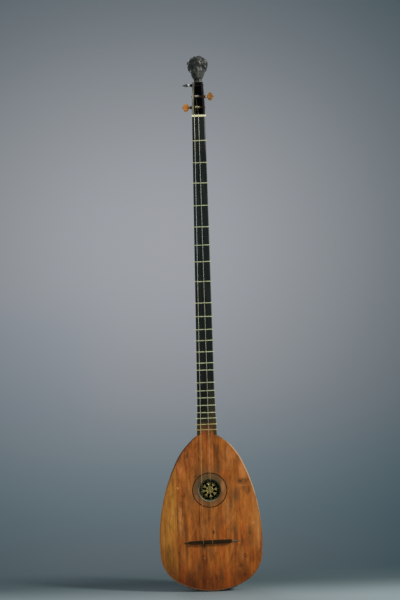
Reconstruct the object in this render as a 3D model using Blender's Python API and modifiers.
"""A colascione: a long-necked lute with a ribbed bowl, tied gut frets and side pegs.

The row frame is in metres: X to the viewer's right, Y from the soundboard towards the bowl, Z up the neck.
The instrument stands upright on its end clasp, with the origin under the middle of its box.
Below, sizes are in millimetres, x is across, d is depth behind the soundboard's face and s is height up the axis.
"""

import math

import bmesh
import bpy
from mathutils import Matrix, Vector

MM = 0.001
GAP = 0.3  # between pieces that are glued or rest on each other

# Body
FACE_Y = -61.37  # where the soundboard's face lies along Y, so that the box is centred
CLASP_T = 2.0
BODY_S = CLASP_T + GAP  # lowest point of the ribs and the soundboard
OUTLINE_ARCS = ((198.897, 28.59), (98.233, 56.958), (522.087, 30.359), (187.371, 31.21))  # radius, sweep in degrees
RIBS = 11
RIB_T = 1.8
BOARD_T = 2.4
BACK = BOARD_T + GAP  # depth at which the ribs, blocks, bars and neck meet the soundboard
BINDING_W = 3.0
WING_X = -95.5  # the glue joint between the soundboard's bass wing and its main board
TONGUE_S = 480.3  # the soundboard's tongue runs this far up the neck, between two prongs of the fingerboard
TONGUE_W = 19.4

# Rose
ROSE_S = 291.0
ROSE_R = 33.0
INLAY_R = (48.1, 50.4)

# Bridge and strings
BRIDGE_S = 142.8
BRIDGE_X = 4.3
BRIDGE_TURN = 0.0236  # the bridge stands a little askew: its right end is higher, by this much per unit
BRIDGE_HOLES = (-23.5, 2.8, 29.0)
HOLE_H = 4.8
STRING_R = (0.6, 0.5)

# Neck
NECK_S = 449.6
NUT_S = 1364.7
NUT_T = 6.0
NECK_END = 1368.0
NECK_W = (26.0, 19.0)  # half widths at the body and at the nut
NECK_D = (28.2, 20.4)
HEEL = 2.4  # the neck widens by this much on each side over its last part before the body
HEEL_S = 547.0
NUT_SLOTS = (-12.4, -0.4, 12.3)
SCALE = NUT_S - BRIDGE_S

# Tied frets: the tempered slot each belongs to, and how far it has crept towards the body
FRETS = {
    1: 2.4, 2: 1.1, 3: -1.6, 4: 5.2, 5: 12.0, 6: 13.0, 7: 12.0, 8: 23.0, 10: 0.5, 11: 1.0, 12: 1.9, 13: -0.8,
    14: -0.8, 15: 0.6, 16: -7.7, 17: 0.6, 18: -1.5, 19: -5.4, 20: -6.7, 21: -7.5, 22: -11.7, 23: -13.5, 24: -16.2,
}  # fmt: skip
FRET_R = 0.65

# Pegbox, in its own frame: z up its length, d behind its open front
TILT = math.radians(10)
BOX_L = 97.5
BOX_W = (19.1, 14.8)
BOX_D = 22.0
CHEEK = 6.5
PEG_D = 11.0
PEGS = (("peg_treble", 90.0, -1), ("peg_middle", 55.8, 1), ("peg_bass", 24.0, -1))

# Head
HEAD_C = (0.0, 34.0, 1501.0)  # x, d, s


def level(x, d, s):
    return Vector((x, FACE_Y + d, s)) * MM


def smooth(t):
    t = min(1.0, max(0.0, t))
    return t * t * (3 - 2 * t)


def lean(s):
    """The neck isn't set quite true: how far the middle line lies to one side at the height s."""
    return -3.6 * smooth((s - 425.0) / (NECK_S - 425.0)) + 2.4 * max(0.0, s - NECK_S) / (NECK_END - NECK_S)


def at(x, d, s):
    return level(x + lean(s), d, s)


def outline(inset=0.0, steps=(6, 10, 7, 6)):
    """Half of the body's outline as (half width, s), from the bottom to the neck, moved inwards by inset."""
    w, s, heading = 0.0, BODY_S, 0.0
    points = [(0.0, s + inset)]
    for (radius, sweep), n in zip(OUTLINE_ARCS, steps):
        turn = math.radians(sweep) / n
        for _ in range(n):
            step = 2 * radius * math.sin(turn / 2)
            w += step * math.cos(heading + turn / 2)
            s += step * math.sin(heading + turn / 2)
            heading += turn
            points.append((w - inset * math.sin(heading), s + inset * math.cos(heading)))
    return points


def half_width(s, inset=0.0):
    points = outline(inset)
    for (w0, s0), (w1, s1) in zip(points, points[1:]):
        if s0 <= s <= s1:
            return w0 + (w1 - w0) * (s - s0) / (s1 - s0)
    return points[-1][0] if s > points[-1][1] else points[0][0]


def depth_ratio(s):
    """How deep the bowl's half-oval section is for its half width."""
    return 0.89 + 0.19 * smooth((s - 250) / 199)


def neck_half(s):
    """Half width and depth of the neck: an even taper that widens over the last part before the body."""
    t = (s - NECK_S) / (NECK_END - NECK_S)
    flare = HEEL * smooth((HEEL_S - s) / (HEEL_S - NECK_S))
    return NECK_W[0] + (NECK_W[1] - NECK_W[0]) * t + flare, NECK_D[0] + (NECK_D[1] - NECK_D[0]) * t + flare


def fret_s(slot):
    return NUT_S - SCALE * (1 - 2 ** (-slot / 12)) - FRETS[slot]


# ---------------------------------------------------------------- scene helpers
for old in list(bpy.data.objects):
    bpy.data.objects.remove(old, do_unlink=True)
whole = bpy.data.collections.new("colascione")
cutters = bpy.data.collections.new("cutters")
bpy.context.scene.collection.children.link(whole)
bpy.context.scene.collection.children.link(cutters)


def material(name, colour, roughness, metallic=0.0):
    made = bpy.data.materials.new(name)
    made.use_nodes = True
    shader = made.node_tree.nodes["Principled BSDF"]
    shader.inputs["Base Color"].default_value = (*colour, 1)
    shader.inputs["Roughness"].default_value = roughness
    shader.inputs["Metallic"].default_value = metallic
    return made


BOARD_WOOD = material("board_wood", (0.36, 0.13, 0.035), 0.45)
WING_WOOD = material("wing_wood", (0.40, 0.19, 0.055), 0.45)
RIB_WOOD = material("rib_wood", (0.22, 0.085, 0.03), 0.35)
PALE_WOOD = material("pale_wood", (0.62, 0.42, 0.24), 0.5)
SPRUCE = material("spruce", (0.66, 0.47, 0.27), 0.6)
BLACK_WOOD = material("black_wood", (0.012, 0.011, 0.011), 0.35)
CARVED = material("carved_black", (0.02, 0.019, 0.018), 0.28)
BONE = material("bone", (0.78, 0.70, 0.48), 0.4)
BOXWOOD = material("boxwood", (0.55, 0.21, 0.05), 0.38)
GUT = material("gut", (0.55, 0.48, 0.22), 0.4)
PARCHMENT = material("parchment", (0.36, 0.31, 0.15), 0.5)
IRON = material("iron", (0.08, 0.075, 0.07), 0.55, 1.0)


def place(name, mesh, paint, collection=whole, smooth_angle=None):
    obj = bpy.data.objects.new(name, mesh)
    collection.objects.link(obj)
    mesh.materials.clear()
    mesh.materials.append(paint)
    if smooth_angle is not None:
        mesh.shade_smooth()
        mesh.set_sharp_from_angle(angle=math.radians(smooth_angle))
    return obj


def finish(name, bm, paint, collection=whole, smooth_angle=None):
    bmesh.ops.recalc_face_normals(bm, faces=bm.faces)
    mesh = bpy.data.meshes.new(name)
    bm.to_mesh(mesh)
    bm.free()
    return place(name, mesh, paint, collection, smooth_angle)


def loft(name, rings, paint, collection=whole, smooth_angle=None):
    """A solid through matching rings of points, capped at both ends."""
    bm = bmesh.new()
    loops = [[bm.verts.new(p) for p in ring] for ring in rings]
    for a, b in zip(loops, loops[1:]):
        for i in range(len(a)):
            j = (i + 1) % len(a)
            bm.faces.new((a[i], a[j], b[j], b[i]))
    bm.faces.new(loops[0])
    bm.faces.new(loops[-1])
    return finish(name, bm, paint, collection, smooth_angle)


def plate(name, points, d0, d1, paint, collection=whole):
    """A flat piece in the soundboard's plane: an outline of (x, s), from depth d0 to d1."""
    curve = bpy.data.curves.new(name, "CURVE")
    curve.dimensions = "2D"
    curve.fill_mode = "BOTH"
    curve.extrude = abs(d1 - d0) / 2 * MM
    spline = curve.splines.new("POLY")
    spline.points.add(len(points) - 1)
    for point, (x, s) in zip(spline.points, points):
        point.co = ((x + lean(s)) * MM, s * MM, 0, 1)
    spline.use_cyclic_u = True
    drawn = bpy.data.objects.new(name + "_outline", curve)
    cutters.objects.link(drawn)
    drawn.rotation_euler = (math.radians(90), 0, 0)
    drawn.location = level(0, (d0 + d1) / 2, 0)
    bpy.context.view_layer.update()
    graph = bpy.context.evaluated_depsgraph_get()
    mesh = bpy.data.meshes.new_from_object(drawn.evaluated_get(graph))
    bm = bmesh.new()
    bm.from_mesh(mesh)
    bmesh.ops.remove_doubles(bm, verts=bm.verts, dist=1e-6)
    bmesh.ops.dissolve_limit(bm, angle_limit=math.radians(0.5), verts=bm.verts, edges=bm.edges)
    bm.to_mesh(mesh)
    bm.free()
    made = place(name, mesh, paint, collection)
    made.matrix_world = drawn.matrix_world.copy()
    bpy.data.objects.remove(drawn, do_unlink=True)
    return made


def turned_ring(name, r0, r1, d0, d1, paint, collection=whole, steps=36):
    """A ring about the rose's axis: a closed profile turned by a Screw modifier."""
    bm = bmesh.new()
    corners = [bm.verts.new((r * MM, 0, -d * MM)) for r, d in ((r1, d0), (r1, d1), (r0, d1), (r0, d0))]
    for i in range(4):
        bm.edges.new((corners[i], corners[(i + 1) % 4]))
    mesh = bpy.data.meshes.new(name)
    bm.to_mesh(mesh)
    bm.free()
    obj = place(name, mesh, paint, collection)
    obj.location = at(0, 0, ROSE_S)
    obj.rotation_euler = (math.radians(90), 0, 0)
    screw = obj.modifiers.new("turn", "SCREW")
    screw.steps = screw.render_steps = steps
    screw.use_merge_vertices = True
    screw.merge_threshold = 0.00001
    return obj


def cylinder(name, radius0, radius1, start, end, paint, collection=cutters, sides=20):
    """A round bar between two points, in metres."""
    run = end - start
    bm = bmesh.new()
    bmesh.ops.create_cone(
        bm, cap_ends=True, segments=sides, radius1=radius0 * MM, radius2=radius1 * MM, depth=run.length
    )
    turn = run.to_track_quat("Z", "Y").to_matrix().to_4x4()
    bmesh.ops.transform(bm, matrix=Matrix.Translation((start + end) / 2) @ turn, verts=bm.verts)
    return finish(name, bm, paint, collection, 30 if collection is whole else None)


def box(name, low, high, paint, collection=cutters):
    bm = bmesh.new()
    bmesh.ops.create_cube(bm, size=1)
    size = [abs(b - a) for a, b in zip(low, high)]
    bmesh.ops.scale(bm, vec=size, verts=bm.verts)
    bmesh.ops.translate(bm, vec=(Vector(low) + Vector(high)) / 2, verts=bm.verts)
    return finish(name, bm, paint, collection)


def cut(obj, cutter, operation="DIFFERENCE"):
    cutter.hide_render = True
    cutter.display_type = "WIRE"
    made = obj.modifiers.new("cut_" + cutter.name, "BOOLEAN")
    made.operation = operation
    made.solver = "EXACT"
    made.object = cutter


def tube(name, points, radius, paint, cyclic=False, sides_level=1, radii=None, origin=None):
    """A round cord along a chain of points, in metres."""
    origin = origin or Vector((0, 0, 0))
    curve = bpy.data.curves.new(name, "CURVE")
    curve.dimensions = "3D"
    curve.bevel_depth = radius * MM
    curve.bevel_resolution = sides_level
    curve.use_fill_caps = not cyclic
    curve.twist_mode = "MINIMUM"
    spline = curve.splines.new("POLY")
    spline.points.add(len(points) - 1)
    for i, (point, co) in enumerate(zip(spline.points, points)):
        point.co = (*(co - origin), 1)
        point.radius = radii[i] if radii else 1.0
    spline.use_cyclic_u = cyclic
    curve.materials.append(paint)
    obj = bpy.data.objects.new(name, curve)
    obj.location = origin
    whole.objects.link(obj)
    return obj


# ---------------------------------------------------------------- bowl
def rib(number):
    """One stave: flat across between its two edges, bent along its length and mitred to its neighbours."""
    a, b = math.pi * (number - 1) / RIBS, math.pi * number / RIBS
    outer, inner = outline(0.0), outline(RIB_T)
    first = next(i for i, (w, _) in enumerate(outer) if w > 9.0)
    stations = list(range(first, len(outer)))
    across = 1
    bm = bmesh.new()

    def edge(w, s, phi, ratio):
        return Vector((w * math.cos(phi), BACK + ratio * w * math.sin(phi), s))

    for skin in (outer, inner):
        before = set(bm.verts)
        bmesh.ops.create_grid(bm, x_segments=len(stations) - 1, y_segments=across, size=0.5)
        for vert in set(bm.verts) - before:
            i = stations[round((vert.co.x + 0.5) * (len(stations) - 1))]
            v = round((vert.co.y + 0.5) * across) / across
            w, s = skin[i]
            ratio = depth_ratio(outer[i][1])
            p, q = edge(w, s, a, ratio), edge(w, s, b, ratio)
            inset = 0.16 / (q - p).length
            v = inset + v * (1 - 2 * inset)
            here = p.lerp(q, v)
            vert.co = at(here.x, here.y, here.z)
    bmesh.ops.bridge_loops(bm, edges=[e for e in bm.edges if e.is_boundary])
    return finish(f"rib_{number:02d}", bm, RIB_WOOD, smooth_angle=30)


for number in range(1, RIBS + 1):
    rib(number)


def half_round(w, depth, s, n=12, slope=0.0, front=BACK):
    """A ring of a half-oval section with a flat front."""
    return [
        at(w * math.cos(math.pi * k / n), front + depth * math.sin(math.pi * k / n),
           s - slope * depth * math.sin(math.pi * k / n))
        for k in range(n + 1)
    ]  # fmt: skip


def inner_block(name, levels, paint):
    rings = []
    for s in levels:
        w = half_width(s, RIB_T + 0.5)
        # the staves are flat between their edges, so the block keeps inside those flats
        w *= math.cos(math.pi / (2 * RIBS))
        rings.append(half_round(w, depth_ratio(s) * w, s))
    return loft(name, rings, paint, smooth_angle=35)


neck_block = inner_block("neck_block", (445.0, 438.0, 430.0, 420.0), SPRUCE)
end_block = inner_block("end_block", (BODY_S + RIB_T + 1.6, BODY_S + 5, BODY_S + 8, BODY_S + 12, BODY_S + 18), SPRUCE)


def clasp_surface(x, d, drop):
    radius = OUTLINE_ARCS[0][0]
    reach = math.hypot(x, (d - BACK) / depth_ratio(0))
    return BODY_S + radius - math.sqrt(radius**2 - reach**2) - drop


def end_clasp():
    """The strip bent over the bottom of the bowl, where the staves run out."""
    bm = bmesh.new()
    for drop in (GAP, GAP + CLASP_T):
        before = set(bm.verts)
        bmesh.ops.create_grid(bm, x_segments=14, y_segments=3, size=0.5)
        for vert in set(bm.verts) - before:
            u, v = vert.co.x * 2, vert.co.y + 0.5
            x = 73.0 * u
            deep = 27.0 * math.sqrt(max(0.0, 1 - 0.8 * u * u))
            d = BACK + deep * v
            vert.co = at(x, d, clasp_surface(x, d, drop))
    bmesh.ops.bridge_loops(bm, edges=[e for e in bm.edges if e.is_boundary])
    return finish("end_clasp", bm, BLACK_WOOD, smooth_angle=30)


end_clasp()

# ---------------------------------------------------------------- soundboard
def mirrored(points):
    """A whole outline from its right half, going up the right side and down the left."""
    return points + [(-x, s) for x, s in reversed(points) if x > 1e-6]


outer_line, inner_line = outline(0.0), outline(BINDING_W)
def run_out(points):
    """An outline carried straight on to the neck's end of the body."""
    (w0, s0), (w1, s1) = points[-2:]
    end = NECK_S - GAP
    return points + [(w1 + (w0 - w1) * (end - s1) / (s0 - s1), end)] if s1 < end - 0.5 else points


board_line = run_out(outline(BINDING_W + GAP))
board_line += [(TONGUE_W, board_line[-1][1]), (TONGUE_W - 0.4, TONGUE_S - 7.0), (TONGUE_W * 0.6, TONGUE_S - 2.2), (0.0, TONGUE_S)]
board = plate("soundboard", mirrored(board_line), 0.0, BOARD_T, BOARD_WOOD)
wing = plate("soundboard_bass_wing", mirrored(board_line), 0.0, BOARD_T, WING_WOOD)
far = 400.0
side_a = box("cut_wing_side", level(-far, -20, -50), level(WING_X + 0.15, 20, 600), IRON)
side_b = box("cut_main_side", level(WING_X - 0.15, -20, -50), level(far, 20, 600), IRON)
hole = cylinder("cut_rose_hole", ROSE_R, ROSE_R, at(0, 12, ROSE_S), at(0, -12, ROSE_S), IRON, sides=36)
groove = turned_ring("cut_inlay_groove", INLAY_R[0] - 0.3, INLAY_R[1] + 0.3, -2.0, 1.3, IRON, cutters)
cut(board, side_a)
cut(board, hole)
cut(board, groove)
cut(wing, side_b)

right, inside = outer_line, run_out(inner_line)
u_shape = [(-x, s) for x, s in reversed(right)] + right[1:] + inside[::-1] + [(-x, s) for x, s in inside[1:]]
plate("edge_binding", u_shape, 0.0, BOARD_T, PALE_WOOD)

turned_ring("rose_inlay_ring", INLAY_R[0], INLAY_R[1], -0.1, 1.0, BLACK_WOOD)
turned_ring("rose_border", 30.5, ROSE_R - GAP, -0.2, 6.0, PALE_WOOD)


def rose_lattice():
    """A wheel of eight arms, pierced right through."""
    disc = cylinder("rose_lattice", 30.2, 30.2, at(0, 5.0, ROSE_S), at(0, 4.0, ROSE_S), PARCHMENT, whole, 36)
    bm = bmesh.new()

    def pierce(radius, angle, long, wide, sides=8):
        turn = Matrix.Rotation(angle, 4, "Y")
        middle = Matrix.Translation(at(0, 4.5, ROSE_S))
        out = Matrix.Translation((0, 0, radius * MM))
        stretch = Matrix.Diagonal((wide * MM, 1, long * MM, 1))
        lie = Matrix.Rotation(math.radians(90), 4, "X")
        bmesh.ops.create_cone(
            bm, cap_ends=True, segments=sides, radius1=1, radius2=1, depth=8 * MM,
            matrix=middle @ turn @ out @ stretch @ lie,
        )  # fmt: skip

    for k in range(8):
        whole_turn, half_turn = math.pi / 4 * k, math.pi / 4 * (k + 0.5)
        pierce(9.2, whole_turn, 4.4, 1.7)
        pierce(24.6, whole_turn, 3.4, 4.0)
        pierce(17.4, half_turn, 3.0, 1.9)
        pierce(17.0, whole_turn, 1.6, 1.9, 6)
        pierce(25.6, half_turn, 1.9, 1.9, 6)
    cutter = finish("cut_rose_piercing", bm, IRON, cutters)
    cut(disc, cutter)


rose_lattice()

for name, s in (("bar_above_rose", 352.0), ("bar_below_rose", 232.0), ("bar_below_bridge", 84.0)):
    reach = half_width(s, RIB_T) - 3.0
    rings = []
    for x, height in ((-reach, 4.0), (-reach + 30, 12.0), (reach - 30, 12.0), (reach, 4.0)):
        rings.append([at(x, BACK, s - 2.5), at(x, BACK + height, s - 2.5), at(x, BACK + height, s + 2.5), at(x, BACK, s + 2.5)])
    loft(name, rings, SPRUCE)


# ---------------------------------------------------------------- bridge
def bridge():
    rings = []
    for x, half, height in (
        (-81.0, 0.9, 1.6), (-73.0, 1.7, 2.2), (-66.0, 3.4, 4.6), (-61.0, 4.6, 7.2), (-40.0, 5.2, 8.0), (0.0, 5.3, 8.2),
        (40.0, 5.2, 8.0), (53.0, 4.6, 7.2), (57.0, 2.6, 4.0), (66.0, 1.8, 2.4), (81.0, 0.9, 1.6),
    ):  # fmt: skip
        chamfer = min(0.9, half * 0.4)
        foot, crown = -GAP, -GAP - height
        section = (
            (half, foot), (half, crown + chamfer), (half - chamfer, crown),
            (chamfer - half, crown), (-half, crown + chamfer), (-half, foot),
        )  # fmt: skip
        rings.append([at(BRIDGE_X + x, d, BRIDGE_S + a + x * BRIDGE_TURN) for a, d in section])
    made = loft("bridge", rings, BLACK_WOOD)
    for i, x in enumerate(BRIDGE_HOLES):
        drill = cylinder(
            f"cut_string_hole_{i}", 1.1, 1.1, at(x, -HOLE_H, BRIDGE_S - 12), at(x, -HOLE_H, BRIDGE_S + 12), IRON, sides=10
        )
        cut(made, drill)
    return made


bridge()


# ---------------------------------------------------------------- neck
neck_rings = []
for s in (NECK_S, 474.0, 498.0, 522.0, HEEL_S, 700.0, 1040.0, NECK_END - 8.0):
    w, depth = neck_half(s)
    neck_rings.append(half_round(w, depth, s))
w, depth = neck_half(NECK_END)
neck_rings.append(half_round(w, depth, NECK_END - BACK * math.tan(TILT), slope=math.tan(TILT)))
neck = loft("neck", neck_rings, BLACK_WOOD, smooth_angle=35)

notch = [(x + GAP, s) for x, s in board_line[-4:-1]] + [(0.0, TONGUE_S + GAP)]
notch[0] = (TONGUE_W + GAP, NECK_S)
right = [(neck_half(s)[0], s) for s in (NECK_S, 474.0, 498.0, 522.0, HEEL_S, 1000.0, NUT_S - NUT_T / 2 - GAP)]
plate("fingerboard", right + [(-x, s) for x, s in reversed(right)] + [(-x, s) for x, s in notch] + notch[-2::-1], 0.0, BOARD_T, BLACK_WOOD)

nut = box("nut", at(-20.5, BOARD_T, NUT_S - NUT_T / 2), at(20.5, -3.4, NUT_S + NUT_T / 2), BONE, whole)
soften = nut.modifiers.new("soften", "BEVEL")
soften.width = 0.0008
soften.segments = 2
for i, x in enumerate(NUT_SLOTS):
    half = 1.0
    cut(nut, box(f"cut_nut_slot_{i}", at(x - half, -2.3, NUT_S - 8), at(x + half, -8.0, NUT_S + 8), IRON))

nail_x = lean(NECK_S)
nail_hole = cylinder("cut_nail_hole", 2.6, 2.6, level(nail_x, 17.0, 410), level(nail_x, 17.0, 492), IRON, sides=12)
cut(neck_block, nail_hole)
cut(neck, nail_hole)
nail = cylinder("neck_nail", 2.2, 0.7, level(nail_x, 17.0, 418.5), level(nail_x, 17.0, 488.0), IRON, whole, 12)
nail_head = cylinder("cut_nail_head", 4.6, 4.2, level(nail_x, 17.0, 416.4), level(nail_x, 17.0, 419.4), IRON, sides=12)
cut(nail, nail_head, "UNION")

# ---------------------------------------------------------------- pegbox
pegbox_frame = bpy.data.objects.new("pegbox_frame", None)
whole.objects.link(pegbox_frame)
pegbox_frame.location = at(0, 0, NECK_END + GAP)
pegbox_frame.rotation_euler = (-TILT, 0, 0)
bpy.context.view_layer.update()
IN_BOX = pegbox_frame.matrix_world.copy()


def in_box(x, d, z):
    """A point of the pegbox's own frame, in metres, still in that frame."""
    return Vector((x, d, z)) * MM


def box_half(z):
    return BOX_W[0] + (BOX_W[1] - BOX_W[0]) * (z / BOX_L) ** 2


rings = []
for z in (0.0, 24.0, 55.8, 78.0, BOX_L):
    w = box_half(z)
    c = 7.0 - 3.0 * z / BOX_L
    rings.append([in_box(*p) for p in (
        (w, 0.7, z), (w, BOX_D - c, z), (w - c * 0.3, BOX_D - c * 0.3, z), (w - c, BOX_D, z),
        (c - w, BOX_D, z), (c * 0.3 - w, BOX_D - c * 0.3, z), (-w, BOX_D - c, z), (-w, 0.7, z), (0.7 - w, 0, z), (w - 0.7, 0, z),
    )])  # fmt: skip
pegbox = loft("pegbox", rings, BLACK_WOOD)
pegbox.parent = pegbox_frame
rings = []
for z in (3.0, 24.0, 55.8, 78.0, BOX_L - 4.5):
    w = box_half(z) - CHEEK
    rings.append([in_box(*p) for p in ((w, -6, z), (w, 15.5, z), (w - 1.0, 16.5, z), (1.0 - w, 16.5, z), (-w, 15.5, z), (-w, -6, z))])
trough = loft("cut_trough", rings, IRON, cutters)
trough.parent = pegbox_frame
cut(pegbox, trough)

# A peg along +x in its own frame, with its head's outer end at the far side: distance from the cheek, radii tall and thick
PEG_HEAD = (
    (1.2, 3.95, 3.95), (2.2, 5.0, 5.0), (4.2, 5.2, 5.2), (5.4, 3.6, 3.6), (7.2, 3.0, 3.0), (9.2, 4.4, 3.0), (11.5, 8.6, 3.1),
    (14.5, 11.6, 3.3), (18.0, 12.4, 3.2), (21.5, 10.6, 2.9), (24.0, 6.6, 2.4), (25.0, 2.4, 1.9), (26.0, 1.9, 1.9),
    (27.2, 2.1, 2.1), (28.2, 1.2, 1.2),
)  # fmt: skip
PEG_SIDES = 12


def peg(name, z, side):
    """A tapered friction peg that passes both cheeks: side is -1 with its head to the left and 1 to the right."""
    reach = box_half(z)
    rings = []

    def ring(x, ra, rb):
        points = []
        for k in range(PEG_SIDES):
            angle = 2 * math.pi * k / PEG_SIDES
            up, deep = (ra, rb) if name != "peg_treble" else (rb, ra)
            points.append(in_box(side * x, deep * math.sin(angle), up * math.cos(angle)))
        return points

    for x, r in ((-reach - 1.5, 2.7), (-reach - 0.5, 3.0), (reach, 3.85)):
        rings.append(ring(x, r, r))
    for out, ra, rb in PEG_HEAD:
        rings.append(ring(reach + out, ra, rb))
    paint = BLACK_WOOD if name == "peg_treble" else BOXWOOD
    made = loft(name, rings, paint, smooth_angle=35)
    made.parent = pegbox_frame
    made.location = in_box(0, PEG_D, z)
    start, end = in_box(-side * (reach + 6), PEG_D, z), in_box(side * (reach + 6), PEG_D, z)
    slope = 0.85 / (2 * reach + 0.5)
    drill = cylinder(f"cut_{name}_hole", 3.0 + 0.32 - 6 * slope, 3.85 + 0.32 + 6 * slope, start, end, IRON, sides=16)
    drill.parent = pegbox_frame
    cut(pegbox, drill)
    return made


for name, z, side in PEGS:
    peg(name, z, side)


def winding(name, z, x0, x1, shaft, string):
    """The turns of string on a peg, as the sleeve that they fill."""
    bm = bmesh.new()
    inner, outer = shaft + 0.35, shaft + 0.35 + 2 * string
    loops = []
    for x, r in ((x0, inner), (x0, outer), (x1, outer), (x1, inner)):
        loops.append([
            bm.verts.new(in_box(x, r * math.sin(2 * math.pi * k / PEG_SIDES), r * math.cos(2 * math.pi * k / PEG_SIDES)))
            for k in range(PEG_SIDES)
        ])  # fmt: skip
    for i in range(4):
        a, b = loops[i], loops[(i + 1) % 4]
        for k in range(PEG_SIDES):
            j = (k + 1) % PEG_SIDES
            bm.faces.new((a[k], a[j], b[j], b[k]))
    made = finish(name, bm, GUT, smooth_angle=40)
    made.parent = pegbox_frame
    made.location = in_box(0, PEG_D, z)
    return made


winding("winding_bass", 24.0, -10.4, 4.8, 3.65, STRING_R[0])
winding("winding_middle", 55.8, -10.2, 4.6, 3.65, STRING_R[1])


# ---------------------------------------------------------------- strings
def string(name, hole_x, slot_x, radius, peg_z, peg_x, shaft):
    """From its tie on the bridge, through the bridge, over the nut and down to its peg."""
    crown = -GAP - 8.2 - 0.35 - radius
    middle = BRIDGE_S + (hole_x - BRIDGE_X) * BRIDGE_TURN
    back, front = middle - 5.3 - 1.0 - radius, middle + 5.3
    run = [
        (hole_x + 1.2 * radius, crown, middle + 3.6),
        (hole_x + 0.8 * radius, crown, middle - 3.4),
        (hole_x + 0.4 * radius, crown + 1.2, back + 0.2),
        (hole_x, -HOLE_H - 1.2, back - 0.3),
        (hole_x, -HOLE_H, back + 1.0),
        (hole_x, -HOLE_H, front),
    ]
    over_nut = -2.3 - 0.35 - radius
    points = [at(*p) for p in run]
    points.append(at(slot_x, over_nut, NUT_S - 2.0))
    points.append(at(slot_x, over_nut, NUT_S + 2.2))
    # it comes down on the front of the turns that the peg already holds
    reach = shaft + 0.35 + 2 * radius + 0.35 + radius
    low = IN_BOX @ in_box(peg_x, PEG_D - reach, peg_z - 1.2)
    points.append(low)
    return tube(name, points, radius, GUT)


string("string_bass", BRIDGE_HOLES[0], NUT_SLOTS[0], STRING_R[0], 24.0, -6.0, 3.65)
string("string_middle", BRIDGE_HOLES[1], NUT_SLOTS[1], STRING_R[1], 55.8, -7.0, 3.65)


# ---------------------------------------------------------------- frets
def fret(number, slot):
    """A gut tied round the neck, with its knot on the bass side of the fingerboard's edge."""
    s = fret_s(slot)
    w, depth = neck_half(s)
    off = GAP + 0.05 + FRET_R
    points = []
    for x in (-w * 0.5, 0.0, w * 0.5, w + 0.35):
        points.append((x, -off))
    points.append((w + off, -0.1))
    n = 12
    for k in range(1, n):
        phi = math.pi * k / n
        points.append(((w + off) * math.cos(phi), BACK + (depth + off) * math.sin(phi)))
    knot = len(points)
    points += [(-w - off - 0.9, 0.5), (-w - 0.2, -off - 0.25)]
    radii = [1.0] * len(points)
    radii[knot] = 1.7
    loop = [at(x, d, s) for x, d in points]
    return tube(f"fret_{number:02d}", loop, FRET_R, GUT, cyclic=True, sides_level=0, radii=radii, origin=at(0, BACK, s))


for number, slot in enumerate(FRETS, 1):
    fret(number, slot)


# ---------------------------------------------------------------- carved head
def bump(x, width):
    return math.exp(-((x / width) ** 2))


def head_reach(n):
    """How far the carved head reaches from its middle in the direction n: x right, y back, z up, in millimetres."""
    x, y, z = n
    base = 1 / math.sqrt((x / 22.0) ** 2 + (y / 27.0) ** 2 + (z / (34.0 if z > 0 else 35.5)) ** 2)
    front = smooth((-y - 0.05) / 0.5)
    base -= 2.0 * smooth((-z - 0.15) / 0.7) * abs(x)  # the cheeks draw in to the jaw
    base += 6.0 * bump(x, 0.12) * bump(z + 0.12, 0.16) * front  # nose
    base += 1.6 * bump(z - 0.16, 0.08) * bump(x, 0.5) * front  # brow
    base += 2.5 * bump(x, 0.2) * bump(z + 0.7, 0.14) * front  # chin
    base -= 2.6 * bump(abs(x) - 0.3, 0.13) * bump(z - 0.02, 0.08) * front  # eye sockets
    # thick hair: over the forehead and the temples, fullest high on the sides, and down to the nape
    line = 0.34 - 0.30 * abs(x) ** 1.5 - 0.85 * max(0.0, y + 0.1)
    hair = smooth((z - line) / 0.16) * smooth((z + 0.55) / 0.25)
    lump = math.cos(6 * math.atan2(x, -y)) * math.cos(8 * math.asin(max(-1.0, min(1.0, z))))
    full = 1.5 + 4.5 * smooth((z + 0.05) / 0.5) + 9.5 * bump(z - 0.60, 0.24) * abs(x)
    full += 4.0 * bump(z - 0.87, 0.13) * bump(abs(x) - 0.45, 0.25)
    return base + hair * (full + 0.8 * lump)


bm = bmesh.new()
bmesh.ops.create_icosphere(bm, subdivisions=4, radius=1.0)
for vert in bm.verts:
    n = vert.co.normalized()
    reach = head_reach(n)
    vert.co = at(HEAD_C[0] + n.x * reach, HEAD_C[1] + n.y * reach, HEAD_C[2] + n.z * reach)
axis = IN_BOX.to_3x3() @ Vector((0, 0, 1))
seat = IN_BOX @ in_box(0, 0, BOX_L + GAP)
bmesh.ops.bisect_plane(
    bm, geom=bm.verts[:] + bm.edges[:] + bm.faces[:], dist=1e-7, plane_co=seat, plane_no=axis, clear_inner=True
)
bmesh.ops.holes_fill(bm, edges=[e for e in bm.edges if e.is_boundary])
head = finish("head_finial", bm, CARVED, smooth_angle=50)

# the throat, between the end of the pegbox and the carved head
rings = []
for z, across, deep, middle in ((BOX_L + GAP, 12.6, 9.4, 11.3), (BOX_L + 5, 12.0, 9.2, 12.0), (BOX_L + 22, 14.5, 14.0, 14.5)):
    rings.append([
        IN_BOX @ in_box(across * math.cos(2 * math.pi * k / 20), middle + deep * math.sin(2 * math.pi * k / 20), z)
        for k in range(20)
    ])  # fmt: skip
cut(head, loft("cut_throat", rings, CARVED, cutters), "UNION")
